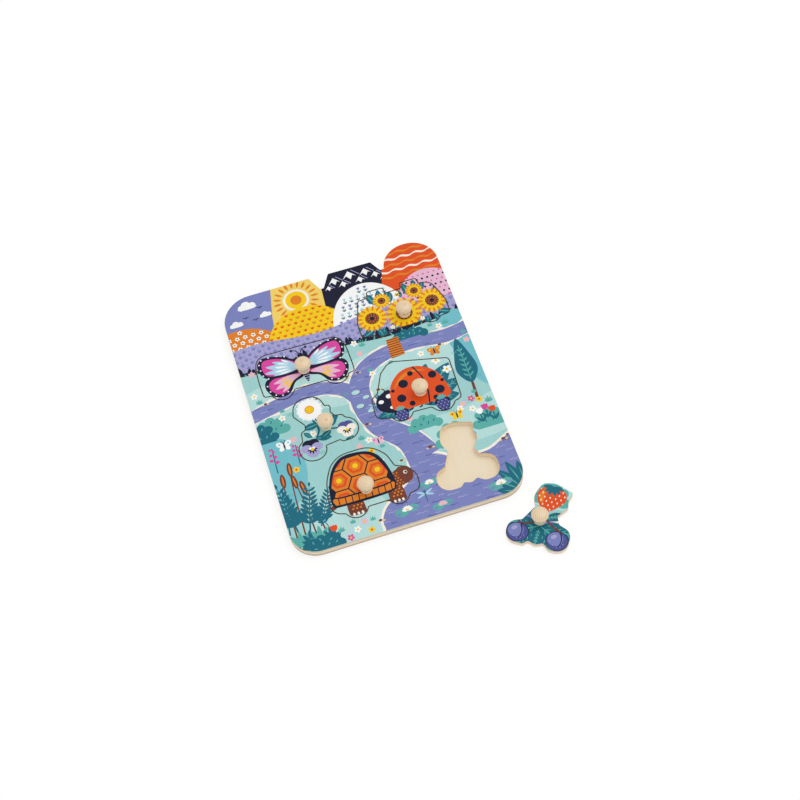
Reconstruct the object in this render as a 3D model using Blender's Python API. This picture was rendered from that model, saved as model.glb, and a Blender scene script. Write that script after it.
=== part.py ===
"""Wooden peg puzzle: a printed inset board with six lift-out pieces, each with a turned knob.

Lengths are metres. X runs along the board's straight bottom edge, Y up the picture and Z up.
The origin is the centre of the board's underside, where the board rests on a table.
Pieces are named after their recess in the board. The lower right one lies on the table beside it.
"""
import math

import bmesh
import bpy
from mathutils import Matrix, Vector
from mathutils.geometry import tessellate_polygon

# Board
BOARD_WIDTH = 0.220
BOARD_HEIGHT = 0.302
BACKING_THICKNESS = 0.0027
FRAME_THICKNESS = 0.005
SEAT_GAP = 0.0003

# Pieces
CUT_CLEARANCE = 0.0004
EDGE_CHAMFER = 0.00015
HOLE_CLEARANCE = 0.0003

# Knobs
KNOB_HEAD_DIAMETER = 0.0156
KNOB_BASE_DIAMETER = 0.0115
KNOB_WAIST_DIAMETER = 0.0103
KNOB_WAIST_LEVEL = 0.0025
KNOB_HEAD_LEVEL = 0.0100
KNOB_CROWN_HEIGHT = 0.0040
CROWN_EXPONENT = 2.25
SPIGOT_DIAMETER = 0.006
SPIGOT_RECESS = 0.0004

# The loose piece: how far its knob stands left of the board's right edge, and its turn
LOOSE_KNOB_LEFT = 0.0033
LOOSE_TURN = math.radians(-34.7)

# Facets
ARC_ERROR = 0.00006
SMALLEST_FILLET = 0.0002
KNOB_SIDES = 20
FLARE_STEPS = 5
CROWN_STEPS = 4
SMOOTH_ANGLE = math.radians(35)

# The cut pattern is drawn on a grid of squares laid over the board.
# A corner is (x, y, fillet radius) in squares, anticlockwise from the bottom left.
SQUARES_ACROSS = 220
SQUARES_UP = 302

BOARD_CORNERS = (
    (0, 0, 25), (220, 0, 25), (220, 302, 26.6), (170.1, 302, 26), (165.9, 279.4, 1), (162, 279.4, 1.5),
    (155.5, 292, 2), (112, 292.8, 2), (103.6, 277.5, 1.5), (100, 277.5, 1.5), (92.3, 293.8, 2),
    (0, 294.5, 31),
)
UPPER_RIGHT_CORNERS = (
    (122.6, 207.4, 3.5), (134.2, 206.5, 2), (138.5, 202.4, 7), (147.2, 202.4, 7), (151.5, 206.6, 2),
    (184.6, 206.6, 2), (189, 202.4, 7), (197, 202.4, 7), (201.5, 206.6, 2), (211.2, 207.6, 3),
    (212.1, 222, 8), (206.6, 242, 30), (203.4, 248.2, 9), (196.4, 250.7, 10), (192.6, 250.9, 1),
    (191.8, 257.7, 2.5), (174.9, 257.7, 2.5), (174.4, 250.9, 1), (158.5, 250.9, 1), (157.8, 258, 2.5),
    (141.3, 258, 2.5), (140.4, 250.9, 1), (130.6, 250.4, 2.5), (122.4, 223, 20),
)
UPPER_LEFT_CORNERS = (
    (15.7, 174, 3), (23.1, 173.2, 2.2), (28, 165.7, 10.5), (40.8, 165.7, 10.5), (45.6, 173.4, 2.2),
    (77, 172.8, 2.2), (81.6, 165.6, 10.5), (94.6, 165.6, 10.5), (99.2, 173.4, 2.2), (105.2, 174.2, 3),
    (105.5, 186, 60), (105, 203, 20), (102, 218.6, 12), (18.8, 220.6, 12), (15.8, 204, 30), (15.3, 190, 60),
)
MIDDLE_RIGHT_CORNERS = (
    (108.9, 114.5, 7), (123.2, 111.5, 2.2), (127.2, 105, 10), (139.4, 105, 10), (144, 111.4, 2.2),
    (162, 110.4, 3), (166.6, 102.6, 11), (179.6, 102.6, 11), (184.6, 110, 2), (191.5, 110.9, 5),
    (193.4, 157.9, 4), (141.3, 171.6, 2), (134.8, 169.2, 2), (127, 161.8, 3), (117.8, 141.4, 4),
    (110.8, 137.2, 6), (110.2, 128, 8),
)
MIDDLE_LEFT_CORNERS = (
    (31.6, 91.4, 12.3), (56.5, 91.4, 11.4), (57, 103.8, 1), (70.8, 105.4, 2), (73.8, 102.9, 2),
    (91, 102.9, 12), (91.2, 122.4, 12), (82, 127.6, 2), (80.2, 131.2, 2), (73.2, 132.6, 2),
    (70.4, 137.4, 3), (72.3, 145.2, 2.5), (67.2, 146, 1.5), (64.8, 155.4, 12), (58.2, 160, 12),
    (46, 160.4, 13), (38.8, 155, 13), (36, 143.8, 2.5), (44.4, 130.8, 4), (42.8, 125.6, 2.5),
    (38.6, 124.6, 3), (37.4, 114.6, 3), (31.8, 110, 8),
)
LOWER_LEFT_CORNERS = (
    (42.2, 32.3, 11), (54.3, 28.8, 3), (58.8, 21.3, 10.8), (71.2, 21.3, 10.8), (75.9, 29.2, 2.2),
    (95.2, 29.2, 3), (99.8, 22.3, 10), (110.6, 22.3, 10), (115.2, 29.4, 3), (125.6, 31.7, 5),
    (127.4, 46.2, 14), (121, 57.2, 8), (110.4, 62, 3), (106.6, 76, 18), (94.6, 89.6, 22),
    (58.6, 89.6, 24), (46.6, 66, 40), (43.2, 48, 20),
)
LOWER_RIGHT_CORNERS = (
    (142.4, 20.4, 11), (160.8, 20.4, 3), (164.6, 24.6, 2.5), (171.6, 22, 5), (177.9, 25.4, 2),
    (184.1, 20.4, 6), (200.3, 20.4, 11), (200.3, 43.5, 10.2), (187.6, 47.6, 2.5), (184, 55.5, 2),
    (191.2, 65.6, 4), (189.6, 72.6, 6), (191.7, 82.2, 2.3), (173.6, 87.9, 14), (162.1, 85.2, 7),
    (156.8, 69.8, 14), (161.5, 60.4, 2.5), (153.7, 44.8, 2), (142.4, 40.5, 10.2),
)

# Knob axes, in squares
UPPER_RIGHT_AXIS = (169.3, 221)
UPPER_LEFT_AXIS = (59.8, 191.8)
MIDDLE_RIGHT_AXIS = (156.8, 130.2)
MIDDLE_LEFT_AXIS = (62.7, 124)
LOWER_LEFT_AXIS = (79.1, 47)
LOWER_RIGHT_AXIS = (169.5, 47.5)

# Finishes
PLYWOOD_ROUGHNESS = 0.6
PRINT_ROUGHNESS = 0.5
TURNED_ROUGHNESS = 0.45

# Linear base colours
PLYWOOD = (0.70, 0.53, 0.36)
TURNED_WOOD = (0.74, 0.58, 0.38)
AQUA = (0.33, 0.57, 0.58)
YELLOW = (0.86, 0.58, 0.05)
MAGENTA = (0.66, 0.09, 0.33)
RED_ORANGE = (0.68, 0.12, 0.04)
CREAM = (0.80, 0.76, 0.68)
ORANGE = (0.72, 0.24, 0.04)
TEAL = (0.09, 0.36, 0.33)


def on_board(x, y):
    """Place in metres, from the board's centre, of a point on the grid of squares."""
    across = (x / SQUARES_ACROSS - 0.5) * BOARD_WIDTH
    up = (y / SQUARES_UP - 0.5) * BOARD_HEIGHT
    return Vector((across, up))


def square_side():
    """Mean side of one square of the grid, in metres."""
    return (BOARD_WIDTH / SQUARES_ACROSS + BOARD_HEIGHT / SQUARES_UP) / 2


def fitting_radii(places, turns, radii):
    """Fillet radii, made smaller where the two fillets of a side would meet."""
    reaches = [radius * math.tan(abs(turn) / 2) for radius, turn in zip(radii, turns)]
    shares = [1.0] * len(places)
    for index, reach in enumerate(reaches):
        side = (places[index] - places[index - 1]).length
        share = side / (reach + reaches[index - 1])
        shares[index] = min(shares[index], share)
        shares[index - 1] = min(shares[index - 1], share)
    return [radius * share for radius, share in zip(radii, shares)]


def rounded_outline(corners, grow):
    """Closed outline with a fillet at each corner, moved outwards by grow."""
    places = [on_board(x, y) for x, y, _ in corners]
    runs = [(place - places[index - 1]).normalized() for index, place in enumerate(places)]
    next_runs = runs[1:] + runs[:1]
    turns = [math.atan2(run.cross(next_run), run.dot(next_run)) for run, next_run in zip(runs, next_runs)]
    radii = fitting_radii(places, turns, [radius * square_side() for _, _, radius in corners])
    points = []
    for place, run, next_run, turn, drawn_radius in zip(places, runs, next_runs, turns, radii):
        outward = Vector((run.y, -run.x))
        next_outward = Vector((next_run.y, -next_run.x))
        corner = place + (outward + next_outward) * grow / (1 + outward.dot(next_outward))
        side = math.copysign(1, turn)
        radius = max(drawn_radius + side * grow, SMALLEST_FILLET)
        arm = outward * side * radius
        centre = corner - run * radius * math.tan(abs(turn) / 2) - arm
        steps = arc_steps(drawn_radius, turn)
        for step in range(steps + 1):
            points.append(centre + Matrix.Rotation(turn * step / steps, 2) @ arm)
    return points


def arc_steps(radius, turn):
    """Number of facets that keeps an arc within the allowed error."""
    largest_step = 2 * math.acos(1 - min(ARC_ERROR / radius, 0.5))
    return max(1, math.ceil(abs(turn) / largest_step))


def circle(radius):
    """Points of a circle round a knob's axis."""
    angles = [2 * math.pi * side / KNOB_SIDES for side in range(KNOB_SIDES)]
    return [Vector((radius * math.cos(angle), radius * math.sin(angle))) for angle in angles]


def add_ring(mesh, points, level):
    """Loop of vertices along an outline at one height."""
    return [mesh.verts.new((point.x, point.y, level)) for point in points]


def add_wall(mesh, rings):
    """Side faces between rings that have the same number of vertices."""
    for low, high in zip(rings, rings[1:]):
        for index in range(len(low)):
            mesh.faces.new((low[index - 1], low[index], high[index], high[index - 1]))


def add_cap(mesh, rings):
    """Flat face inside the first ring and outside the others."""
    vertices = [vertex for ring in rings for vertex in ring]
    for triangle in tessellate_polygon([[vertex.co for vertex in ring] for ring in rings]):
        mesh.faces.new([vertices[index] for index in triangle])


def finished_mesh(name, mesh):
    """Blender mesh with outward normals and smooth arcs."""
    bmesh.ops.recalc_face_normals(mesh, faces=mesh.faces)
    data = bpy.data.meshes.new(name)
    mesh.to_mesh(data)
    mesh.free()
    data.shade_smooth()
    data.set_sharp_from_angle(angle=SMOOTH_ANGLE)
    return data


def plate_mesh(name, outlines, thickness):
    """Flat plate with chamfered top edges.

    An outline is a function of how far it is moved into the solid. The first is the outer edge, and the
    others are holes.
    """
    mesh = bmesh.new()
    stacks = []
    for outline in outlines:
        bottom = add_ring(mesh, outline(0), 0)
        shoulder = add_ring(mesh, outline(0), thickness - EDGE_CHAMFER)
        top = add_ring(mesh, outline(EDGE_CHAMFER), thickness)
        add_wall(mesh, (bottom, shoulder, top))
        stacks.append((bottom, top))
    add_cap(mesh, [bottom for bottom, _ in stacks])
    add_cap(mesh, [top for _, top in stacks])
    return finished_mesh(name, mesh)


def knob_profile():
    """Half section of a knob, from the spigot's end to the top. Level 0 is the shoulder on the piece."""
    head = KNOB_HEAD_DIAMETER / 2
    waist = KNOB_WAIST_DIAMETER / 2
    spigot = SPIGOT_DIAMETER / 2
    spigot_end = SPIGOT_RECESS - FRAME_THICKNESS - SEAT_GAP
    profile = [(0, spigot_end), (spigot, spigot_end), (spigot, 0), (KNOB_BASE_DIAMETER / 2, 0)]
    for step in range(FLARE_STEPS + 1):
        share = step / FLARE_STEPS
        eased = share * share * (3 - 2 * share)
        level = KNOB_WAIST_LEVEL + (KNOB_HEAD_LEVEL - KNOB_WAIST_LEVEL) * share
        profile.append((waist + (head - waist) * eased, level))
    for step in range(1, CROWN_STEPS):
        angle = math.pi / 2 * step / CROWN_STEPS
        radius = head * math.cos(angle) ** (2 / CROWN_EXPONENT)
        level = KNOB_HEAD_LEVEL + KNOB_CROWN_HEIGHT * math.sin(angle) ** (2 / CROWN_EXPONENT)
        profile.append((radius, level))
    profile.append((0, KNOB_HEAD_LEVEL + KNOB_CROWN_HEIGHT))
    return profile


def knob_mesh():
    """Turned knob and its spigot in one piece."""
    mesh = bmesh.new()
    (_, spigot_end), *turned, (_, crown_top) = knob_profile()
    rings = [add_ring(mesh, circle(radius), level) for radius, level in turned]
    add_wall(mesh, rings)
    for level, ring in ((spigot_end, rings[0]), (crown_top, rings[-1])):
        pole = mesh.verts.new((0, 0, level))
        for index in range(KNOB_SIDES):
            mesh.faces.new((pole, ring[index - 1], ring[index]))
    return finished_mesh("knob", mesh)


def material(name, colour, roughness):
    """Plain opaque finish."""
    made = bpy.data.materials.new(name)
    made.use_nodes = True
    shader = made.node_tree.nodes["Principled BSDF"]
    shader.inputs["Base Color"].default_value = (*colour, 1)
    shader.inputs["Roughness"].default_value = roughness
    shader.inputs["Metallic"].default_value = 0
    return made


def add_object(name, data, location, parent=None):
    """Object or, without a mesh, an empty."""
    made = bpy.data.objects.new(name, data)
    bpy.context.scene.collection.objects.link(made)
    made.location = location
    made.parent = parent
    return made


def board_edge(inset):
    """Outer edge of both sheets of the board."""
    return rounded_outline(BOARD_CORNERS, -inset)


def recess_edge(corners):
    """Edge of a piece's cut-out in the frame board."""
    return lambda inset: rounded_outline(corners, CUT_CLEARANCE + inset)


def piece_edge(corners, knob_place):
    """Edge of a piece, measured from its knob's axis."""
    return lambda inset: [point - knob_place for point in rounded_outline(corners, -CUT_CLEARANCE - inset)]


def spigot_hole(inset):
    """Edge of the hole for a knob's spigot."""
    return circle(SPIGOT_DIAMETER / 2 + HOLE_CLEARANCE + inset)


def build_board(recess_corners):
    """Backing sheet and, glued on it, the frame sheet with its cut-outs."""
    backing = plate_mesh("backing_board", [board_edge], BACKING_THICKNESS)
    backing.materials.append(material("plywood", PLYWOOD, PLYWOOD_ROUGHNESS))
    add_object("backing_board", backing, (0, 0, 0))
    cut_outs = [recess_edge(corners) for corners in recess_corners]
    frame = plate_mesh("frame_board", [board_edge, *cut_outs], FRAME_THICKNESS)
    frame.materials.append(material("aqua_print", AQUA, PRINT_ROUGHNESS))
    add_object("frame_board", frame, (0, 0, BACKING_THICKNESS + SEAT_GAP))


def build_piece(name, corners, knob_axis, print_name, print_colour, knob):
    """Piece and its knob, on an empty that stands on the knob's axis at the piece's underside."""
    knob_place = on_board(*knob_axis)
    lift = add_object(name + "_lift", None, (*knob_place, BACKING_THICKNESS + SEAT_GAP))
    piece = plate_mesh(name + "_piece", [piece_edge(corners, knob_place), spigot_hole], FRAME_THICKNESS)
    piece.materials.append(material(print_name, print_colour, PRINT_ROUGHNESS))
    add_object(name + "_piece", piece, (0, 0, 0), lift)
    add_object(name + "_knob", knob, (0, 0, FRAME_THICKNESS + SEAT_GAP), lift)
    return lift


def lay_beside_board(lift, corners, knob_axis):
    """Put a piece on the table with its far end level with the board's bottom edge."""
    knob_place = on_board(*knob_axis)
    turn = Matrix.Rotation(LOOSE_TURN, 2)
    reach = max((turn @ point).y for point in piece_edge(corners, knob_place)(0))
    lift.location = (BOARD_WIDTH / 2 - LOOSE_KNOB_LEFT, -BOARD_HEIGHT / 2 - reach, 0)
    lift.rotation_euler = (0, 0, LOOSE_TURN)


def main():
    for old in list(bpy.data.objects):
        bpy.data.objects.remove(old, do_unlink=True)
    pieces = (
        ("upper_right", UPPER_RIGHT_CORNERS, UPPER_RIGHT_AXIS, "yellow_print", YELLOW),
        ("upper_left", UPPER_LEFT_CORNERS, UPPER_LEFT_AXIS, "magenta_print", MAGENTA),
        ("middle_right", MIDDLE_RIGHT_CORNERS, MIDDLE_RIGHT_AXIS, "red_orange_print", RED_ORANGE),
        ("middle_left", MIDDLE_LEFT_CORNERS, MIDDLE_LEFT_AXIS, "cream_print", CREAM),
        ("lower_left", LOWER_LEFT_CORNERS, LOWER_LEFT_AXIS, "orange_print", ORANGE),
        ("lower_right", LOWER_RIGHT_CORNERS, LOWER_RIGHT_AXIS, "teal_print", TEAL),
    )
    build_board([piece[1] for piece in pieces])
    knob = knob_mesh()
    knob.materials.append(material("turned_wood", TURNED_WOOD, TURNED_ROUGHNESS))
    lifts = {piece[0]: build_piece(*piece, knob) for piece in pieces}
    lay_beside_board(lifts["lower_right"], LOWER_RIGHT_CORNERS, LOWER_RIGHT_AXIS)
    bpy.context.view_layer.update()


main()
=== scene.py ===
import math

import bmesh
import bpy
from mathutils import Matrix, Vector
from mathutils.geometry import delaunay_2d_cdt


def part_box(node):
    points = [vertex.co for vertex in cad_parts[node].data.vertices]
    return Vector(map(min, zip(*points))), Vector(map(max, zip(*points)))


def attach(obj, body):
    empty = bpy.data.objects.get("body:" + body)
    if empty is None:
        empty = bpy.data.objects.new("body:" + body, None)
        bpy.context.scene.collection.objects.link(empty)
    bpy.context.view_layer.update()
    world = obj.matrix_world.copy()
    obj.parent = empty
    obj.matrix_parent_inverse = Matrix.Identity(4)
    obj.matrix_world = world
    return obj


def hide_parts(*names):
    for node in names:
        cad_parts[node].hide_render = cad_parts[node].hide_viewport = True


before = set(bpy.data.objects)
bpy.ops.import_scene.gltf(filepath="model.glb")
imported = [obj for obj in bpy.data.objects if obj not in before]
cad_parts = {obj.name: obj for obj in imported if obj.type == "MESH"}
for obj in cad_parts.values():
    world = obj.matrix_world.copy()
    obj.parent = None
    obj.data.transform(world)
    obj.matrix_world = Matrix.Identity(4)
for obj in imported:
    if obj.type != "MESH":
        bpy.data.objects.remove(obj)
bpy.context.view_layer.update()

# Camera, as fitted to the photograph
CAMERA_PLACE = (-0.12747, -0.86072, 1.34155)
CAMERA_AZIMUTH = math.radians(-10.38)
CAMERA_ELEVATION = math.radians(57.44)
CAMERA_ROLL = math.radians(-8.02)
CAMERA_LENS = 76.1
SENSOR_WIDTH = 36.0
NEAR_CLIP = 0.05
FAR_CLIP = 20.0

# Light
SUN_FROM = (0.38, 0.16, 0.91)
SUN_SPREAD = math.radians(55)
SUN_STRENGTH = 0.9
SKY_STRENGTH = 0.76
FLOOR_SIZE = 6.0
FLOOR_DROP = 0.0001
FLOOR_OWN_WHITE = 0.74

# The picture is drawn in millimetres from the bottom left corner of the board's rectangle
MM = 0.001
MICRONS = 1e6
LEVEL_ERROR = 0.00001
BOARD_LOW, BOARD_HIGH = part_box("backing_board")
TO_BOARD = Matrix.Translation((-BOARD_LOW.x, -BOARD_LOW.y, 0))
LOOSE_BODY = "lower_right"
LOOSE_AXIS_IN_PICTURE = (169.5, 47.5)
LOOSE_TURN = math.radians(-34.7)
CURVE_STEP = 1.1

# Triangulation of the picture: kinds of output and the distance at which points merge
WHOLE_FACES = 4
TRIANGLES = 0
MERGE_DISTANCE = 0.0005

# Print and glue
GLUE_THICKNESS = 0.00025
INK_LIFT = 0.00001
INK_THICKNESS = 0.00003
INK_SHEEN = 0.02
INK_ROUGHNESS = 0.45
INK_SPECULAR = 0.16

# Plywood
WOOD_ROUGHNESS = 0.6
WOOD_SPECULAR = 0.3
FACE_TILT = 0.85
FACE_TONES = ((0.3, (228, 213, 185)), (0.5, (230, 216, 189)), (0.7, (232, 218, 193)))

# Noises along the grain, as scale, stretch and detail
INK_FIBRE = (900, (1, 14, 1), 3)
INK_MOTTLE = (55, (1, 4, 1), 2)
FACE_GRAIN = (750, (1, 30, 1), 4)
FACE_FIGURE = (90, (1, 11, 1), 3)
EDGE_STREAKS = (900, (6, 6, 0.35), 3)

# Middle of a noise, and the factors on a colour at its two ends
NOISE_LOW, NOISE_HIGH = 0.3, 0.7
INK_FIBRE_RANGE = (0.965, 1.035)
INK_MOTTLE_RANGE = (0.98, 1.02)
FACE_GRAIN_RANGE = (0.975, 1.02)
EDGE_STREAK_RANGE = (0.9, 1.08)
PORE_RANGE = (0.94, 1.04)

# Bumps, as distance and strength
INK_BUMP = (0.00004, 0.3)
WOOD_BUMP = (0.00005, 0.4)
KNOB_BUMP = (0.00004, 0.3)

# Rectangles round the walls of all recesses and of the empty one, as left, bottom, right and top; walls
# inside the first and outside the second get painted gap shade
CUT_MARGIN = 0.005
ALL_RECESSES = (BOARD_LOW.x + CUT_MARGIN, BOARD_LOW.y + CUT_MARGIN, BOARD_HIGH.x - CUT_MARGIN, 0.118)
EMPTY_RECESS = (0.03, BOARD_LOW.y, BOARD_HIGH.x, -0.055)

# Colours up an edge, from its foot to its top, as 8-bit sRGB, some with painted shade as noted below
# Backing's edge: plies, painted darker over the lower part as the contact shade where the board stands on the
# floor
BACKING_EDGE = ((0.0, (198, 178, 154)), (0.28, (202, 182, 155)), (0.36, (196, 176, 150)),
                (0.62, (202, 182, 156)), (0.68, (213, 195, 171)), (0.93, (214, 197, 172)),
                (1.0, (204, 180, 154)))
FRAME_EDGE = ((0.0, (222, 200, 172)), (0.06, (240, 225, 199)), (0.36, (236, 222, 196)),
              (0.4, (221, 203, 175)), (0.44, (225, 211, 186)), (0.7, (212, 202, 179)),
              (0.74, (199, 186, 161)), (0.78, (208, 200, 177)))
EMPTY_RECESS_EDGE = ((0.0, (250, 236, 214)), (0.32, (248, 231, 204)), (0.38, (240, 218, 185)),
                     (0.44, (246, 226, 195)), (0.7, (240, 214, 176)), (0.76, (230, 201, 161)),
                     (1.0, (228, 196, 153)))
# Walls of the recesses that hold pieces: pale plies, with the dark browns at the top painted as the shade of
# the narrow gap round each seated piece
FILLED_RECESS_EDGE_WITH_PAINTED_GAP_SHADE = ((0.0, (242, 226, 202)), (0.32, (240, 223, 197)), (0.38, (231, 209, 178)),
                      (0.44, (237, 216, 186)), (0.76, (224, 200, 166)), (0.84, (140, 108, 82)),
                      (0.91, (66, 49, 40)), (1.0, (50, 38, 33)))
LOOSE_EDGE = ((0.0, (236, 220, 200)), (0.3, (245, 233, 215)), (0.4, (228, 208, 183)),
              (0.5, (240, 227, 208)), (0.85, (224, 204, 182)), (1.0, (196, 170, 150)))
# Edges of the seated pieces: pale plies, with the dark browns at the top painted as the shade of the narrow
# gap round the piece
PIECE_EDGE_WITH_PAINTED_GAP_SHADE = ((0.0, (236, 220, 200)), (0.3, (243, 229, 208)), (0.4, (226, 206, 180)), (0.5, (238, 223, 200)),
              (0.76, (226, 206, 180)), (0.83, (136, 104, 78)), (0.9, (62, 45, 37)), (1.0, (46, 34, 30)))

# Knob profile
KNOB_HEAD_RADIUS = 0.0078
KNOB_BASE_RADIUS = 0.00575
KNOB_WAIST_RADIUS = 0.00515
KNOB_WAIST_LEVEL = 0.0025
KNOB_HEAD_LEVEL = 0.0100
KNOB_CROWN_HEIGHT = 0.0040
KNOB_EDGE = 0.0004
KNOB_SIDES = 72
FLARE_STEPS = 26
CROWN_STEPS = 16
CROWN_EXPONENT = 2.25
SHARP_ANGLE = math.radians(40)

# Turned wood
KNOB_ROUGHNESS = 0.36
KNOB_COAT = 0.4
KNOB_COAT_ROUGHNESS = 0.25
RING_SCALE = 190
RING_STRETCH = (1, 1, 9)
RING_DISTORTION = 2.2
RING_DETAIL = 2
RING_DETAIL_SCALE = 1.2
RING_TONES = ((0.0, (217, 189, 149)), (0.55, (224, 199, 161)), (1.0, (229, 207, 172)))
PORE_SCALE = 1500
PORE_DETAIL = 3
PITH_RADIUS = 0.0024
PITH_TONE = (232, 200, 164)
PITH_LEAN = (0.05, 0.04)
# Painted light: a pale colour mixed over the knob's sides and the underside of its head, and how much of it
# covers the wood
PAINTED_SIDE_LIGHT = (252, 230, 196)
PAINTED_SIDE_LIGHT_SHARE = 0.85
CROWN_FACING = 0.8
SIDE_FACING = 0.1

# Inks, as 8-bit sRGB
INKS = {
    "aqua": (158, 205, 203),
    "pale_aqua": (180, 217, 214),
    "deep_aqua": (116, 187, 198),
    "teal": (94, 172, 164),
    "dark_teal": (44, 108, 126),
    "periwinkle": (124, 132, 186),
    "lilac": (166, 162, 205),
    "lavender": (146, 142, 194),
    "indigo": (84, 88, 148),
    "white": (243, 243, 241),
    "cream": (242, 234, 220),
    "navy": (40, 42, 58),
    "magenta": (214, 78, 157),
    "pink": (227, 182, 206),
    "yellow": (240, 200, 42),
    "sand": (237, 206, 106),
    "orange": (222, 130, 50),
    "red_orange": (221, 86, 46),
    "sky": (168, 209, 229),
    "brown": (116, 68, 56),
}


def linear(value):
    """Linear value of an 8-bit sRGB one."""
    share = value / 255
    return share / 12.92 if share <= 0.04045 else ((share + 0.055) / 1.055) ** 2.4


def linear_colour(rgb, less=0.0):
    """Linear colour with alpha, less some light on every channel."""
    return (*[max(linear(value) - less, 0.0) for value in rgb], 1.0)


# Shapes of the picture: each function gives a closed outline

def ellipse(x, y, across, up=None, turn=0.0):
    """Ellipse from its centre and half axes."""
    up = across if up is None else up
    count = max(12, round(2 * math.pi * max(across, up) / CURVE_STEP))
    cosine, sine = math.cos(turn), math.sin(turn)
    points = []
    for index in range(count):
        angle = 2 * math.pi * index / count
        u, v = across * math.cos(angle), up * math.sin(angle)
        points.append((x + u * cosine - v * sine, y + u * sine + v * cosine))
    return points


def box(left, bottom, right, top):
    """Rectangle."""
    return [(left, bottom), (right, bottom), (right, top), (left, top)]


def spline(points, closed):
    """Smooth line through the points."""
    count = len(points)
    line = []
    for index in range(count if closed else count - 1):
        near = range(index - 1, index + 3)
        before, start, end, after = (points[place % count if closed else min(max(place, 0), count - 1)]
                                     for place in near)
        steps = max(3, round(math.dist(start, end) / CURVE_STEP))
        for step in range(steps):
            t = step / steps
            line.append(tuple(
                0.5 * (2 * b + (c - a) * t + (2 * a - 5 * b + 4 * c - d) * t * t
                       + (3 * b - a - 3 * c + d) * t * t * t)
                for a, b, c, d in zip(before, start, end, after)))
    if not closed:
        line.append(points[-1])
    return line


def blob(*points):
    """Smooth closed outline through the points."""
    return spline(points, True)


def ribbon(line, widths):
    """Strip along a line, with its width at each point."""
    left, right = [], []
    for index, ((x, y), width) in enumerate(zip(line, widths)):
        before = line[max(index - 1, 0)]
        after = line[min(index + 1, len(line) - 1)]
        run = Vector((after[0] - before[0], after[1] - before[1])).normalized() * width / 2
        left.append((x - run.y, y + run.x))
        right.append((x + run.y, y - run.x))
    return right + left[::-1]


def stroke(points, width, end_width=None):
    """Smooth line of some width, which may taper."""
    end_width = width if end_width is None else end_width
    line = spline(points, False)
    return ribbon(line, [width + (end_width - width) * index / (len(line) - 1) for index in range(len(line))])


def stream(points, banks=0.0):
    """Stream through points that each give its width there, with banks on both sides."""
    line = spline(points, False)
    widths = [width + banks * (2 + math.sin(index * 0.23) + 0.6 * math.sin(index * 0.61))
              for index, (_, _, width) in enumerate(line)]
    return ribbon([(x, y) for x, y, _ in line], widths)


def leaf(x, y, length, width, turn):
    """Leaf with two points, from its foot in the direction of turn in degrees."""
    angle = math.radians(turn)
    steps = max(5, round(length / CURVE_STEP))
    outline = []
    for side in (-1, 1):
        for step in range(steps):
            t = step / steps if side < 0 else 1 - step / steps
            across = side * width / 2 * math.sin(math.pi * t) ** 0.8
            along = length * t
            outline.append((x + along * math.cos(angle) - across * math.sin(angle),
                            y + along * math.sin(angle) + across * math.cos(angle)))
    return outline


def field(left, right, bottom, level, swing, length, shift=0.0):
    """Ground under a wavy line."""
    steps = round((right - left) / (2 * CURVE_STEP))
    top = []
    for step in range(steps + 1):
        x = right + (left - right) * step / steps
        top.append((x, level + swing * math.sin(2 * math.pi * (x / length + shift))))
    return [(left, bottom), (right, bottom)] + top


def round_trip(count, start=0.0):
    """Directions in degrees that share out a full turn."""
    return [start + 360 * index / count for index in range(count)]


def beside(x, y, distance, turn):
    """Point at a distance from another, in the direction of turn in degrees."""
    return x + distance * math.cos(math.radians(turn)), y + distance * math.sin(math.radians(turn))


def staggered(rows, columns, left, bottom, across, up):
    """Row number and place of each spot in rows, of which every other one is shifted by half a step."""
    for row in range(rows):
        for column in range(columns):
            yield row, left + across * (column + row % 2 / 2), bottom + up * row


class Picture:
    """Flat shapes, each painted over the ones before it."""

    def __init__(self, shapes=()):
        self.shapes = list(shapes)

    def add(self, ink, outline, *inside):
        """Paint an outline, only where it lies on one of the shapes numbered inside if any are given."""
        area = sum(a[0] * b[1] - b[0] * a[1] for a, b in zip(outline, outline[1:] + outline[:1]))
        points = [Vector(point) for point in (outline if area > 0 else outline[::-1])]
        self.shapes.append((ink, points, inside))
        return len(self.shapes) - 1


# Small motifs

class Motif:
    """Motif drawn in units of its own size from its own place."""

    def __init__(self, add, x, y, size):
        self.add = add
        self.x = x
        self.y = y
        self.size = size

    def at(self, x, y):
        """Point of the picture."""
        return self.x + x * self.size, self.y + y * self.size

    def oval(self, ink, x, y, across, up=None, turn=0.0, inside=()):
        """Paint an ellipse, whose turn is in radians."""
        up = across if up is None else up
        return self.add(ink, ellipse(*self.at(x, y), across * self.size, up * self.size, turn), *inside)

    def leaf(self, ink, x, y, length, width, turn, inside=()):
        """Paint a leaf, whose turn is in degrees."""
        return self.add(ink, leaf(*self.at(x, y), length * self.size, width * self.size, turn), *inside)

    def stroke(self, ink, points, width, end_width=None):
        """Paint a smooth line."""
        end_width = width if end_width is None else end_width
        line = [self.at(x, y) for x, y in points]
        return self.add(ink, stroke(line, width * self.size, end_width * self.size))


def flower(add, x, y, radius, petals, centre="yellow", turn=0.0):
    """Flower with five round petals."""
    for direction in round_trip(5, turn):
        place = beside(x, y, radius * 0.58, direction)
        add(petals, ellipse(*place, radius * 0.44, radius * 0.34, math.radians(direction)))
    add(centre, ellipse(x, y, radius * 0.3))


def star_flower(add, x, y, radius, rings):
    """Flower with rings of fifteen pointed petals, the outer ring first."""
    for ring, (ink, share) in enumerate(rings):
        for direction in round_trip(15, 12 * (ring % 2)):
            add(ink, leaf(x, y, radius * share, radius * 0.3, direction))


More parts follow.
